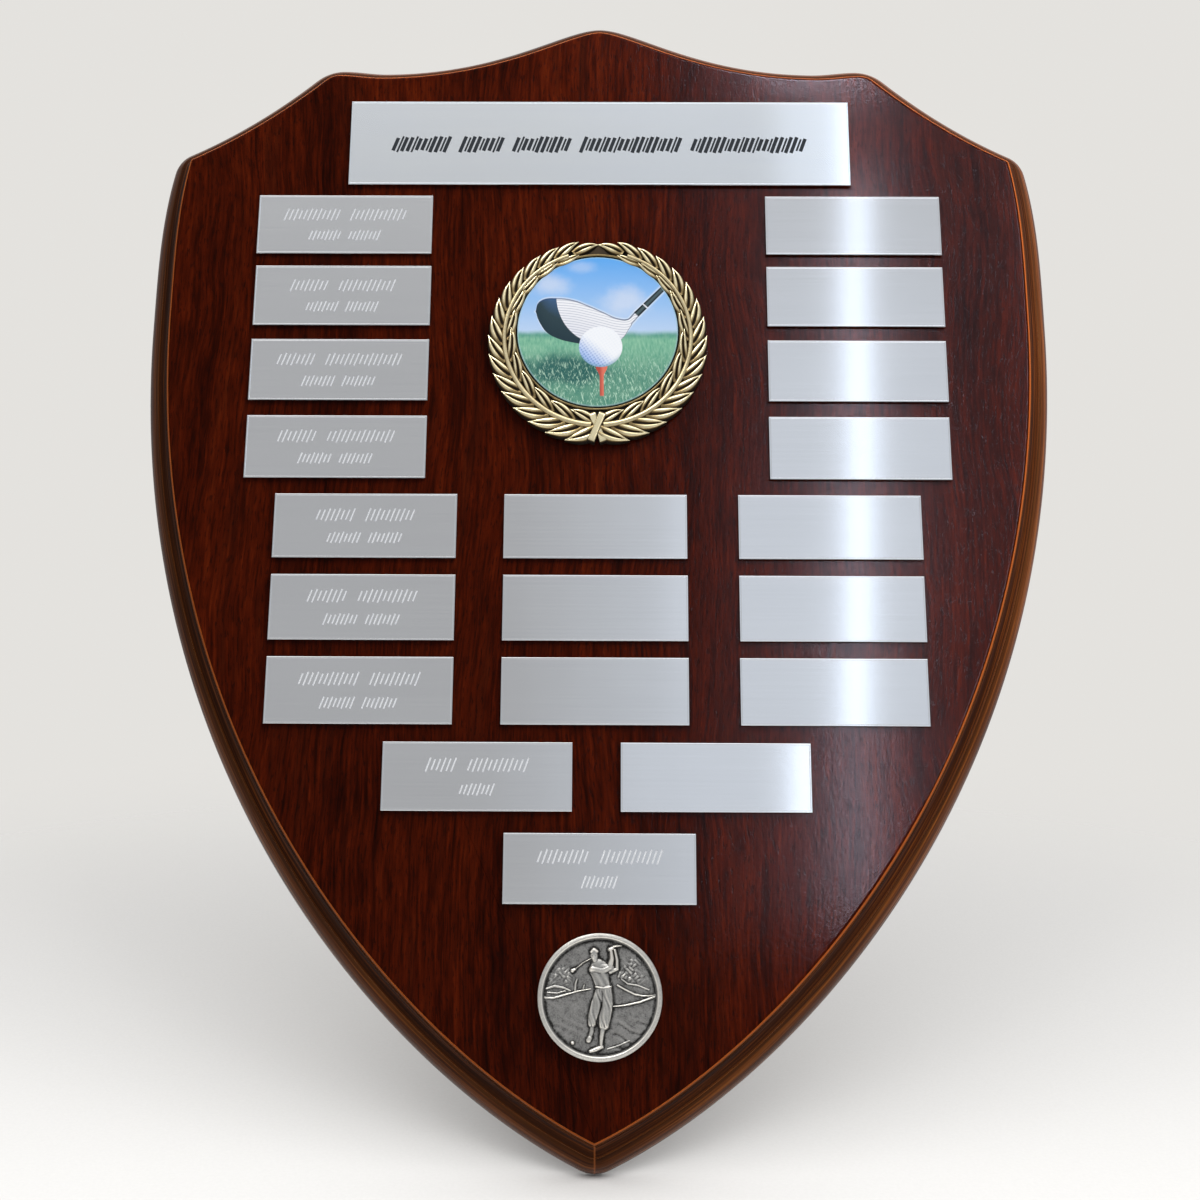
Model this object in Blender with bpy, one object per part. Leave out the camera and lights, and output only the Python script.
"""Wooden shield plaque: a moulded board with a header plate, twenty small name plates,
a laurel wreath round a printed centre, and a round medal with a golfer in relief.
Metres, +Z up. The back of the board lies on y = 0 and the front faces -Y.
Run with: blender --background --python part.py
"""
import math

import bmesh
import bpy
from mathutils import Matrix, Vector
from mathutils.geometry import interpolate_bezier

MM = 0.001
GAP = 0.3                       # left between two pieces that touch
TINY = 1e-4                     # stands for no step where an operator needs one

# Board. Lengths in millimetres, headings in degrees, 0 = to the right, clockwise is negative.
BOARD_THICK = 18.0
CREST_Z = 182.2
DIP = (69.8, 165.4)
DIP_HEADING = -0.8
SHOULDER = (84.0, 166.4)
SHOULDER_ROUND = 16.0
SLOPE_HEADING = -41.9
CORNER = (134.0, 135.2)
CORNER_HEADING = -26.3
CORNER_ROUND = 10.4
CHEEK_HEADING = -78.6
WIDEST = (142.8, 73.4)
TIP_START = (4.4, -179.6)
TIP_HEADING = -154.6
TIP_ROUND = 10.2
# How far the handles of the two long curves reach, as shares of a third of their chord.
CREST_REACH = (0.54, 1.59)
CHEEK_REACH = (1.49, 0.625)

# Moulded edge, measured outward from the face's own edge (across) and back from the face (down).
MOULD_WIDTH = 9.4
ARRIS = 0.35
QUIRK = (0.35, 1.0)
COVE_CENTRE = (4.6, 0.9)
COVE_RADII = (4.1, 4.8)
COVE_STEPS = 3
BEAD = (4.25, 5.9)
BEAD_ANGLE = 63.0
ROUND_HEIGHT = 13.0
ROUND_STEPS = 4
SIDE_DOWN = 17.0
BACK_CHAMFER = 0.5

# Keyhole slot in the back, for a screw head in the wall.
KEY_Z = 138.0
KEY_ENTRY = 5.5
KEY_NECK = 2.8
KEY_RUN = 13.0
KEY_LIP = 3.5
KEY_DEPTH = 9.0

# Plates.
PLATE_SIZE = (55.0, 20.0, 0.8)
PLATE_BEVEL = 0.25
HEADER_SIZE = (159.2, 29.3, 1.0)
HEADER_PLACE = (0.1, 131.9)
PLATE_ROWS = [
    (103.4, (-79.9, 79.9)),
    (79.2, (-79.7, 79.8)),
    (54.5, (-79.7, 79.7)),
    (29.5, (-79.6, 79.5)),
    (4.5, (-69.7, -0.6, 69.7)),
    (-20.6, (-69.6, -0.5, 69.6)),
    (-45.6, (-69.5, -0.5, 69.4)),
    (-70.7, (-34.4, 34.5)),
    (-96.8, (1.05,)),
]

# Wreath. Angles run from the top of the wreath round one side; the other side mirrors it.
CENTRE_PLACE = (-0.2, 66.8)
CENTRE_RADIUS = 24.8
CENTRE_THICK = 1.2
CENTRE_BEVEL = 0.2
WREATH_DROP = 3.2
WREATH_FLOOR = 0.8
WREATH_PLATE = (31.4, 1.5)
RING_RADII = (25.1, 26.0)
RING_HEIGHT = 2.5
RING_FOOT = 0.5
RECESS_TOP = 6.0
STEM_RADIUS = 28.7
STEM_SWAY = 1.1
STEM_WIDTHS = (1.7, 0.8)
STEM_HEIGHT = 2.6
STEM_FOOT = 0.45
STEM_SWEEP = (176.0, 18.0)
STEM_STEPS = 14
OUTER_LEAVES = 16
OUTER_PITCH = 10.9
OUTER_FIRST = -0.6
OUTER_TIP_RADIUS = 33.8
OUTER_SPANS = (11.0, 16.0)
OUTER_WIDTHS = (2.1, 2.9)
INNER_LEAVES = 11
INNER_PITCH = 15.1
INNER_FIRST = 10.5
INNER_TIP_RADIUS = 26.5
INNER_SPANS = (13.0, 14.0)
INNER_WIDTHS = (1.4, 2.1)
LEAF_GROOVE = 0.74
LEAF_LAP = 0.07
# Where the even and the odd leaves start above the wreath's back: outer row, inner row.
LEAF_FEET = [(0.3, 0.4), (0.35, 0.45)]
# Each station of a leaf: share of its length, share of its width, height.
OUTER_SHAPE = [(0.0, 0.25, 2.9), (0.35, 1.0, 3.1), (0.68, 0.9, 2.9), (1.0, 0.08, 2.2)]
INNER_SHAPE = [(0.0, 0.3, 2.7), (0.45, 1.0, 2.9), (1.0, 0.1, 2.1)]
RIBBON_TOP = (1.7, -26.8)
RIBBON_FOOT = (-2.0, -36.2)
RIBBON_WIDTH = 2.1
RIBBON_HEIGHTS = (3.2, 2.7)

# Medal.
MEDAL_PLACE = (1.3, -132.1)
MEDAL_RADIUS = 17.35
MEDAL_FIELD = 1.9
MEDAL_RIM_TOP = 2.8
MEDAL_RIM_WIDTH = 1.3
MEDAL_RIM_SLOPE = 0.35
MEDAL_ROLL = 0.4                # rounding of the rim's outer edge
MEDAL_BACK = (0.3, 0.4)         # chamfer round the back: across and down
RELIEF_SINK = 0.5               # how far a relief band starts below the field
RELIEF_STEP = 0.07              # each further set starts a little higher

# Relief on the medal: a path of places, the width at each, and the height above the field.
TORSO = ([(-0.5, 8.9), (-0.2, 7.4), (0.3, 5.0), (0.8, 2.3)], [2.8, 5.0, 4.1, 4.0], 0.9)
HEAD = ([(-1.6, 12.8), (-1.6, 12.0), (-1.5, 10.4), (-1.2, 8.7)], [0.8, 2.0, 2.1, 0.9], 0.85)
FRONT_ARM = ([(-2.1, 7.7), (0.7, 7.2), (2.9, 8.2), (3.4, 10.6), (3.1, 13.2)],
             [1.5, 2.0, 1.7, 1.2, 0.9], 1.15)
REAR_ARM = ([(4.2, 12.9), (4.9, 10.2), (4.5, 7.3), (2.4, 7.0)], [0.6, 0.7, 0.9, 0.9], 0.6)
GRIP = ([(2.5, 12.7), (3.7, 13.7), (5.9, 14.2)], [1.0, 0.8, 0.35], 0.8)
SHAFT = ([(-1.9, 10.3), (-4.6, 9.2), (-6.8, 7.8), (-7.8, 7.2)], [0.35, 0.35, 0.5, 0.9], 0.55)
FAR_LEG = ([(0.2, 2.6), (-1.1, -1.8), (-2.2, -5.6), (-2.2, -7.7)], [2.2, 2.8, 2.4, 1.7], 0.75)
FAR_CALF = ([(-2.2, -7.2), (-2.2, -9.2), (-2.9, -11.5)], [1.1, 1.1, 1.3], 0.5)
NEAR_LEG = ([(1.7, 2.8), (1.9, -1.6), (1.3, -5.6), (1.2, -8.4)], [2.6, 3.0, 3.2, 2.3], 0.95)
NEAR_CALF = ([(0.9, -7.8), (0.4, -10.6), (0.2, -13.4)], [1.3, 1.1, 0.9], 0.75)
NEAR_FOOT = ([(0.5, -13.1), (-1.2, -13.9), (-2.8, -14.6)], [1.0, 1.2, 0.8], 0.65)
LEFT_HILL = ([(-14.6, 0.7), (-11.4, 0.6), (-7.4, 1.8), (-1.6, 3.2)], [0.5, 0.5, 0.5, 0.4], 0.35)
RIGHT_HILL = ([(2.4, -2.5), (8.0, -1.7), (12.0, -0.5), (14.8, 0.5)], [0.4, 0.5, 0.5, 0.5], 0.35)
LEFT_TREE = ([(-12.6, 5.0), (-10.9, 4.4), (-9.4, 6.4)], [0.5, 1.2, 2.2], 0.35)
RIGHT_TREE = ([(5.2, 4.4), (8.0, 4.3), (10.4, 7.4)], [0.7, 2.2, 3.4], 0.35)
BALL = ([(-7.9, -12.2), (-7.5, -12.2), (-7.1, -12.2)], [0.4, 0.8, 0.4], 0.5)
RELIEF_SETS = {
    "relief_first": [TORSO, FAR_CALF, NEAR_CALF, SHAFT, BALL, RIGHT_TREE, LEFT_TREE],
    "relief_second": [HEAD, FAR_LEG, NEAR_FOOT, REAR_ARM],
    "relief_third": [NEAR_LEG, FRONT_ARM, LEFT_HILL],
    "relief_fourth": [GRIP, RIGHT_HILL],
}
DOME = [(-1.0, 0.35), (-0.55, 0.9), (0.55, 0.9), (1.0, 0.35)]
GROOVED = [(-1.0, 0.92), (0.0, LEAF_GROOVE), (1.0, 0.92)]
STEM_SECTION = [(-1.0, 0.8), (0.0, 1.0), (1.0, 0.8)]
FLAT_BAND = [(-1.0, 0.88), (-0.75, 1.0), (0.75, 1.0), (1.0, 0.88)]
SMOOTH_ANGLE = math.radians(32)
ROUND_SEGMENTS = 48


def clear_scene():
    """Empty the scene."""
    for obj in list(bpy.data.objects):
        bpy.data.objects.remove(obj, do_unlink=True)


def material(name, colour, roughness, metallic):
    """One Principled material."""
    mat = bpy.data.materials.new(name)
    mat.use_nodes = True
    mat.diffuse_color = (*colour, 1.0)
    shader = mat.node_tree.nodes["Principled BSDF"]
    shader.inputs["Base Color"].default_value = (*colour, 1.0)
    shader.inputs["Roughness"].default_value = roughness
    shader.inputs["Metallic"].default_value = metallic
    return mat


def add_object(name, mesh, mat, place, lift):
    """Link an object that stands on the board's face at (x, z), lifted off it; all in mm."""
    obj = bpy.data.objects.new(name, mesh)
    if mat is not None and not mesh.materials:
        mesh.materials.append(mat)
    obj.location = (place[0] * MM, -(BOARD_THICK + lift) * MM, place[1] * MM)
    bpy.context.collection.objects.link(obj)
    return obj


def finish_mesh(bm, name, smooth=True):
    """Turn a bmesh in millimetres into a mesh in metres with outward faces."""
    bmesh.ops.scale(bm, vec=(MM, MM, MM), verts=bm.verts)
    bmesh.ops.recalc_face_normals(bm, faces=bm.faces)
    mesh = bpy.data.meshes.new(name)
    bm.to_mesh(mesh)
    bm.free()
    if smooth:
        mesh.shade_smooth()
        mesh.set_sharp_from_angle(angle=SMOOTH_ANGLE)
    return mesh


def mix(pair, share):
    """A value part of the way from the first of a pair to the second."""
    return pair[0] + (pair[1] - pair[0]) * share


def curve_span(start, heading, end, end_heading, reach, steps):
    """Points of one Bezier span after its start; reach scales its two handles."""
    third = math.dist(start, end) / 3
    leave = math.radians(heading)
    arrive = math.radians(end_heading)
    first = Vector((*start, 0.0))
    last = Vector((*end, 0.0))
    handle = first + Vector((math.cos(leave), math.sin(leave), 0.0)) * third * reach[0]
    other = last - Vector((math.cos(arrive), math.sin(arrive), 0.0)) * third * reach[1]
    points = interpolate_bezier(first, handle, other, last, steps + 1)
    return [(p.x, p.y) for p in points[1:]]


def round_span(start, heading, end_heading, radius, steps):
    """Points of a clockwise round after its start."""
    turn = math.radians(heading)
    centre = (start[0] + radius * math.sin(turn), start[1] - radius * math.cos(turn))
    points = []
    for step in range(1, steps + 1):
        angle = math.radians(heading + (end_heading - heading) * step / steps + 90)
        points.append((centre[0] + radius * math.cos(angle), centre[1] + radius * math.sin(angle)))
    return points


def half_outline():
    """The right half of the shield, from the crest to the tip."""
    line = [(0.0, CREST_Z)]
    line += curve_span(line[-1], 0, DIP, DIP_HEADING, CREST_REACH, 9)
    line += curve_span(line[-1], DIP_HEADING, SHOULDER, 0, (1, 1), 2)
    line += round_span(line[-1], 0, SLOPE_HEADING, SHOULDER_ROUND, 4)
    line += curve_span(line[-1], SLOPE_HEADING, CORNER, CORNER_HEADING, (1, 1), 5)
    line += round_span(line[-1], CORNER_HEADING, CHEEK_HEADING, CORNER_ROUND, 5)
    line += curve_span(line[-1], CHEEK_HEADING, WIDEST, -90, (1, 1), 4)
    line += curve_span(line[-1], -90, TIP_START, TIP_HEADING, CHEEK_REACH, 21)
    line += round_span(line[-1], TIP_HEADING, -180, TIP_ROUND, 2)
    return line


def shield_outline():
    """The whole outline, clockwise from the crest as seen from the front."""
    right = half_outline()
    right[-1] = (0.0, right[-1][1])
    left = [(-x, z) for x, z in reversed(right[1:-1])]
    return right + left


def mould_profile():
    """Stations of the moulded edge as (across, down), from the side of the board to its face."""
    low = math.asin((BOARD_THICK - SIDE_DOWN) / ROUND_HEIGHT)
    high = math.radians(BEAD_ANGLE)
    stations = []
    for step in range(ROUND_STEPS + 1):
        angle = low + (high - low) * step / ROUND_STEPS
        stations.append((MOULD_WIDTH * math.cos(angle), BOARD_THICK - ROUND_HEIGHT * math.sin(angle)))
    stations.append(BEAD)
    for step in range(COVE_STEPS + 1):
        angle = math.radians(84 - 82 * step / COVE_STEPS)
        across = COVE_CENTRE[0] - COVE_RADII[0] * math.cos(angle)
        stations.append((across, COVE_CENTRE[1] + COVE_RADII[1] * math.sin(angle)))
    stations += [QUIRK, (0.1, ARRIS), (-ARRIS, 0.0)]
    return stations


def board_mesh():
    """The board: its outline raised to the side's height, then stepped in along the moulding."""
    bm = bmesh.new()
    back = bm.faces.new([bm.verts.new((x, -BACK_CHAMFER, z)) for x, z in shield_outline()])
    lifted = bmesh.ops.extrude_face_region(bm, geom=[back])["geom"]
    face = [item for item in lifted if isinstance(item, bmesh.types.BMFace)][0]
    raised = BOARD_THICK - SIDE_DOWN
    bmesh.ops.translate(bm, vec=(0, BACK_CHAMFER - raised, 0), verts=face.verts)
    back = [f for f in bm.faces if all(abs(v.co.y + BACK_CHAMFER) < 1e-6 for v in f.verts)][0]
    bmesh.ops.recalc_face_normals(bm, faces=bm.faces)
    across, down = MOULD_WIDTH, SIDE_DOWN
    for next_across, next_down in mould_profile():
        bmesh.ops.inset_region(bm, faces=[face], thickness=max(across - next_across, TINY),
                               depth=down - next_down, use_even_offset=True)
        across, down = next_across, next_down
    bmesh.ops.inset_region(bm, faces=[back], thickness=BACK_CHAMFER, depth=BACK_CHAMFER,
                           use_even_offset=True)
    bmesh.ops.translate(bm, vec=(0, BOARD_THICK, 0), verts=bm.verts)
    return finish_mesh(bm, "shield_board")


def slot_cutter(name, radius, run, low, high):
    """A round-ended slot cutter from one depth to another below the back face."""
    bm = bmesh.new()
    verts = []
    for step in range(17):
        angle = math.pi * step / 16
        verts.append(bm.verts.new((radius * math.cos(angle), low, run + radius * math.sin(angle))))
    for step in range(17):
        angle = math.pi * (1 + step / 16)
        verts.append(bm.verts.new((radius * math.cos(angle), low, radius * math.sin(angle))))
    if run == 0:
        bmesh.ops.remove_doubles(bm, verts=bm.verts, dist=0.01)
        verts = sorted(bm.verts, key=lambda v: math.atan2(v.co.z, v.co.x))
    face = bm.faces.new(verts)
    top = bmesh.ops.extrude_face_region(bm, geom=[face])["geom"]
    moved = [item for item in top if isinstance(item, bmesh.types.BMVert)]
    bmesh.ops.translate(bm, vec=(0, high - low, 0), verts=moved)
    obj = bpy.data.objects.new(name, finish_mesh(bm, name, smooth=False))
    obj.location = (0, 0, KEY_Z * MM)
    bpy.context.collection.objects.link(obj)
    return obj


def combine(target, tool, operation):
    """Join or cut with a hidden tool object."""
    tool.hide_render = True
    tool.display_type = "WIRE"
    step = target.modifiers.new(tool.name, "BOOLEAN")
    step.operation = operation
    step.solver = "EXACT"
    step.object = tool


def build_board(wood):
    """The moulded board with its keyhole slot."""
    board = add_object("shield_board", board_mesh(), wood, (0, 0), 0)
    entry = slot_cutter("keyhole_entry", KEY_ENTRY, 0, -KEY_DEPTH, 1)
    neck = slot_cutter("keyhole_neck", KEY_NECK, KEY_RUN, -KEY_LIP - 1, 1)
    room = slot_cutter("keyhole_room", KEY_ENTRY - 0.1, KEY_RUN, -KEY_DEPTH + 0.1, -KEY_LIP)
    for tool in (entry, neck, room):
        combine(board, tool, "DIFFERENCE")


def plate_mesh(name, size):
    """A thin plate with its back on y = 0 and its front edges bevelled."""
    bm = bmesh.new()
    bmesh.ops.create_cube(bm, size=1.0)
    bmesh.ops.scale(bm, vec=(size[0], size[2], size[1]), verts=bm.verts)
    bmesh.ops.translate(bm, vec=(0, -size[2] / 2, 0), verts=bm.verts)
    front = [e for e in bm.edges if all(v.co.y < -size[2] / 2 for v in e.verts)]
    bmesh.ops.bevel(bm, geom=front, offset=PLATE_BEVEL, segments=1, affect="EDGES")
    return finish_mesh(bm, name, smooth=False)


def build_plates(metal):
    """The header plate and the name plates, row by row from the top."""
    add_object("header_plate", plate_mesh("header_plate", HEADER_SIZE), metal, HEADER_PLACE, GAP)
    mesh = plate_mesh("name_plate", PLATE_SIZE)
    number = 0
    for height, columns in PLATE_ROWS:
        for across in columns:
            number += 1
            add_object(f"name_plate_{number:02d}", mesh, metal, (across, height), GAP)


def add_band(bm, path, widths, heights, section, foot):
    """A closed raised band along a path in the plane of the board.
    The section lists (share of the half width, share of the height) across the top."""
    rings = []
    for i, (x, z) in enumerate(path):
        before = Vector(path[max(i - 1, 0)])
        after = Vector(path[min(i + 1, len(path) - 1)])
        along = (after - before).normalized()
        side = Vector((-along.y, along.x)) * widths[i] / 2
        ring = [bm.verts.new((x - side.x, -foot, z - side.y))]
        for share, rise in section:
            ring.append(bm.verts.new((x + side.x * share, -heights[i] * rise, z + side.y * share)))
        ring.append(bm.verts.new((x + side.x, -foot, z + side.y)))
        rings.append(ring)
    count = len(rings[0])
    for first, second in zip(rings, rings[1:]):
        for k in range(count):
            after = (k + 1) % count
            bm.faces.new((first[k], first[after], second[after], second[k]))
    bm.faces.new(rings[0])
    bm.faces.new(list(reversed(rings[-1])))


def polar(angle, radius, centre_z=0.0):
    """A place at an angle from the top, to the right."""
    turn = math.radians(angle)
    return (radius * math.sin(turn), radius * math.cos(turn) + centre_z)


def stem_radius(angle):
    """How far out the stem runs at an angle from the top."""
    return STEM_RADIUS + STEM_SWAY * math.cos(math.radians(angle))


def leaf_path(base, tip, bow, shape):
    """Places along a leaf that bows to one side."""
    start, end = Vector(base), Vector(tip)
    across = Vector((start.y - end.y, end.x - start.x)) * bow
    path = []
    for share, _width, _height in shape:
        spot = start.lerp(end, share) + across * math.sin(math.pi * share)
        path.append((spot.x, spot.y))
    return path


def outer_leaf(number):
    """Path and width of one leaf on the outside of the stem."""
    share = number / (OUTER_LEAVES - 1)
    angle = OUTER_FIRST + OUTER_PITCH * number
    base_angle = angle + mix(OUTER_SPANS, share)
    tip = polar(angle, OUTER_TIP_RADIUS - (1.4 if number == 0 else 0.0), -WREATH_DROP)
    base = polar(base_angle, stem_radius(base_angle) + 0.7, -WREATH_DROP)
    return leaf_path(base, tip, -0.06, OUTER_SHAPE), mix(OUTER_WIDTHS, share)


def inner_leaf(number):
    """Path and width of one leaf on the inside of the stem."""
    share = number / (INNER_LEAVES - 1)
    angle = INNER_FIRST + INNER_PITCH * number
    base_angle = angle + mix(INNER_SPANS, share)
    tip = polar(angle, INNER_TIP_RADIUS + 0.35)
    base = polar(base_angle, stem_radius(base_angle) - 0.9, -WREATH_DROP)
    return leaf_path(base, tip, 0.05, INNER_SHAPE), mix(INNER_WIDTHS, share)


def mirrored(path):
    """The same path on the other side of the wreath."""
    return [(-x, z) for x, z in path]


def leaf_set(leaf, shape, count, first, foot):
    """Every second leaf of a row on both sides, as one tool; odd leaves lie a little higher."""
    raise_by = LEAF_LAP * first
    bm = bmesh.new()
    for number in range(first, count, 2):
        path, width = leaf(number)
        widths = [width * share for _place, share, _height in shape]
        heights = [height + raise_by for _place, _width, height in shape]
        add_band(bm, path, widths, heights, GROOVED, foot)
        add_band(bm, mirrored(path), widths, heights, GROOVED, foot)
    return bm


def stem_band(side):
    """The stem of one branch, thinner toward the top."""
    bm = bmesh.new()
    path, widths = [], []
    for step in range(STEM_STEPS + 1):
        share = step / STEM_STEPS
        angle = mix(STEM_SWEEP, share)
        x, z = polar(angle, stem_radius(angle), -WREATH_DROP)
        path.append((x * side, z))
        widths.append(mix(STEM_WIDTHS, share))
    add_band(bm, path, widths, [STEM_HEIGHT] * len(path), STEM_SECTION, STEM_FOOT)
    return bm


def ribbon_band(side, height):
    """One of the two crossed bands at the foot."""
    bm = bmesh.new()
    path = [(RIBBON_TOP[0] * side, RIBBON_TOP[1]), (RIBBON_FOOT[0] * side, RIBBON_FOOT[1])]
    add_band(bm, path, [RIBBON_WIDTH] * 2, [height] * 2, FLAT_BAND, STEM_FOOT)
    return bm


def wreath_body():
    """The backing plate that the leaves grow from."""
    bm = bmesh.new()
    drop = Matrix.Translation((0, 0, -WREATH_DROP))
    turn = Matrix.Rotation(math.radians(90), 4, "X")
    bmesh.ops.create_circle(bm, cap_ends=True, segments=ROUND_SEGMENTS, radius=WREATH_PLATE[0],
                            matrix=drop @ turn)
    top = bmesh.ops.extrude_face_region(bm, geom=list(bm.faces))["geom"]
    moved = [item for item in top if isinstance(item, bmesh.types.BMVert)]
    bmesh.ops.translate(bm, vec=(0, -WREATH_PLATE[1], 0), verts=moved)
    return bm


def round_tool(radius, low, high):
    """A plain round block facing the front, between two heights above the wreath's back."""
    bm = bmesh.new()
    turn = Matrix.Rotation(math.radians(90), 4, "X")
    bmesh.ops.create_cone(bm, cap_ends=True, segments=ROUND_SEGMENTS, radius1=radius, radius2=radius,
                          depth=high - low, matrix=Matrix.Translation((0, -(low + high) / 2, 0)) @ turn)
    return bm


def build_wreath(gold):
    """The wreath: leaves, stems, ring and crossed ribbon joined into one solid."""
    wreath = add_object("wreath", finish_mesh(wreath_body(), "wreath"), gold, CENTRE_PLACE, GAP)
    tools = {}
    for first, turn in enumerate(("even", "odd")):
        feet = LEAF_FEET[first]
        tools[f"outer_{turn}"] = leaf_set(outer_leaf, OUTER_SHAPE, OUTER_LEAVES, first, feet[0])
        tools[f"inner_{turn}"] = leaf_set(inner_leaf, INNER_SHAPE, INNER_LEAVES, first, feet[1])
    tools["ring"] = round_tool(RING_RADII[1], RING_FOOT, RING_HEIGHT)
    tools["stem_right"] = stem_band(1)
    tools["stem_left"] = stem_band(-1)
    tools["ribbon_back"] = ribbon_band(-1, RIBBON_HEIGHTS[1])
    tools["ribbon_front"] = ribbon_band(1, RIBBON_HEIGHTS[0])
    for name, bm in tools.items():
        tool = add_object(f"wreath_{name}", finish_mesh(bm, name, smooth=False), None, CENTRE_PLACE, GAP)
        combine(wreath, tool, "UNION")
    recess = round_tool(RING_RADII[0], WREATH_FLOOR, RECESS_TOP)
    tool = add_object("wreath_recess", finish_mesh(recess, "recess", smooth=False), None, CENTRE_PLACE, GAP)
    combine(wreath, tool, "DIFFERENCE")


def build_centre(print_mat):
    """The printed centre, lying on the wreath's floor."""
    bm = round_tool(CENTRE_RADIUS, 0.0, CENTRE_THICK)
    front = [e for e in bm.edges if all(v.co.y < -CENTRE_THICK / 2 for v in e.verts)]
    bmesh.ops.bevel(bm, geom=front, offset=CENTRE_BEVEL, segments=1, affect="EDGES")
    lift = GAP + WREATH_FLOOR + GAP
    add_object("centre_disc", finish_mesh(bm, "centre_disc"), print_mat, CENTRE_PLACE, lift)


def medal_body():
    """The medal's blank: a round with a raised rim and a sunk field."""
    bm = bmesh.new()
    turn = Matrix.Rotation(math.radians(90), 4, "X")
    back_across, back_down = MEDAL_BACK
    bmesh.ops.create_circle(bm, cap_ends=True, segments=ROUND_SEGMENTS,
                            radius=MEDAL_RADIUS - back_across, matrix=turn)
    top = bmesh.ops.extrude_face_region(bm, geom=list(bm.faces))["geom"]
    face = [item for item in top if isinstance(item, bmesh.types.BMFace)][0]
    scale = MEDAL_RADIUS / (MEDAL_RADIUS - back_across)
    bmesh.ops.scale(bm, vec=(scale, 1, scale), verts=face.verts)
    bmesh.ops.translate(bm, vec=(0, -back_down, 0), verts=face.verts)
    bmesh.ops.recalc_face_normals(bm, faces=bm.faces)
    steps = [
        (TINY, MEDAL_RIM_TOP - MEDAL_ROLL - back_down),
        (MEDAL_ROLL, MEDAL_ROLL),
        (MEDAL_RIM_WIDTH - MEDAL_ROLL, 0.0),
        (MEDAL_RIM_SLOPE, MEDAL_FIELD - MEDAL_RIM_TOP),
    ]
    for thickness, depth in steps:
        bmesh.ops.inset_region(bm, faces=[face], thickness=thickness, depth=depth, use_even_offset=True)
    return bm


def build_medal(pewter):
    """The medal with its figure, hills, trees and ball in relief."""
    medal = add_object("medal", finish_mesh(medal_body(), "medal"), pewter, MEDAL_PLACE, GAP)
    for number, (name, bands) in enumerate(RELIEF_SETS.items()):
        bm = bmesh.new()
        for path, widths, height in bands:
            top = MEDAL_FIELD + height
            section = [(share, 1 - (1 - rise) * height / top) for share, rise in DOME]
            foot = MEDAL_FIELD - RELIEF_SINK - RELIEF_STEP * number
            add_band(bm, path, widths, [top] * len(path), section, foot)
        tool = add_object(name, finish_mesh(bm, name, smooth=False), None, MEDAL_PLACE, GAP)
        combine(medal, tool, "UNION")


def main():
    clear_scene()
    wood = material("mahogany_lacquer", (0.052, 0.011, 0.006), 0.32, 0.0)
    aluminium = material("satin_aluminium", (0.62, 0.64, 0.67), 0.38, 1.0)
    gold = material("antique_gold", (0.62, 0.47, 0.2), 0.42, 1.0)
    print_mat = material("printed_centre", (0.22, 0.42, 0.52), 0.25, 0.0)
    pewter = material("antique_pewter", (0.34, 0.33, 0.31), 0.45, 1.0)
    build_board(wood)
    build_plates(aluminium)
    build_wreath(gold)
    build_centre(print_mat)
    build_medal(pewter)


main()
